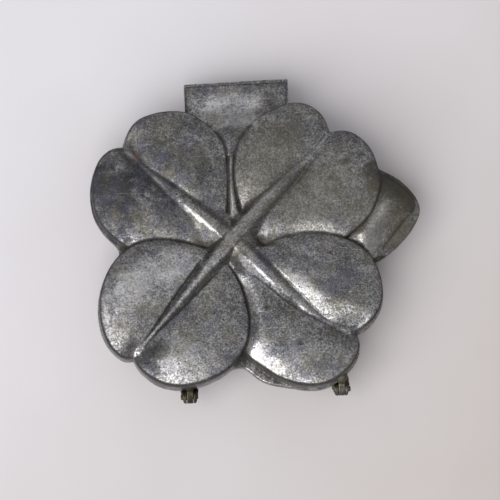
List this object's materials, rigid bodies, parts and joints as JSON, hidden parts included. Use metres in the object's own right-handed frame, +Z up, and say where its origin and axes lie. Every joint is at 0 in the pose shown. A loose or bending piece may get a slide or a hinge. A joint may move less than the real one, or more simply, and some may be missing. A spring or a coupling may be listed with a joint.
{
  "type": "hinged ice cream mould",
  "caption": "Two-part hinged pewter mould for a single moulded ice, shaped as a four-leaf clover with a short stem and a lift tab.",
  "frame": {"origin": "centre of the closed mould's box, on the surface that it lies on", "axes": "+X right along the hinge line, +Y from the hinge towards the lift tab, +Z up through the front half"},
  "size_m": [0.1054, 0.1028, 0.024],
  "materials": {
    "cast_pewter": "old cast pewter, dull grey with dark mottled tarnish, polished on the high spots",
    "soldered_lug_pewter": "dark grimy cast pewter with solder at the joint",
    "iron_wire": "old iron wire, dark brown oxide"
  },
  "bodies": {
    "back_half": {"back_shell": "cast_pewter", "back_hinge_lug_left": "soldered_lug_pewter", "back_hinge_lug_right": "soldered_lug_pewter"},
    "front_half": {"front_shell": "cast_pewter", "front_hinge_lug_left": "soldered_lug_pewter", "front_hinge_lug_right": "soldered_lug_pewter"},
    "pin_left": {"hinge_pin_left": "iron_wire"},
    "pin_right": {"hinge_pin_right": "iron_wire"}
  },
  "joints": [
    {"name": "mould_opening", "type": "hinge", "parent": "back_half", "child": "front_half", "pos_m": [0, -0.0492, 0.012], "axis": [1, 0, 0], "range_deg": [0, 180]},
    {"name": "pin_left_pull", "type": "slide", "parent": "back_half", "child": "pin_left", "axis": [-1, 0, 0], "range_m": [0, 0.0075]},
    {"name": "pin_right_pull", "type": "slide", "parent": "back_half", "child": "pin_right", "axis": [1, 0, 0], "range_m": [0, 0.0075]}
  ]
}
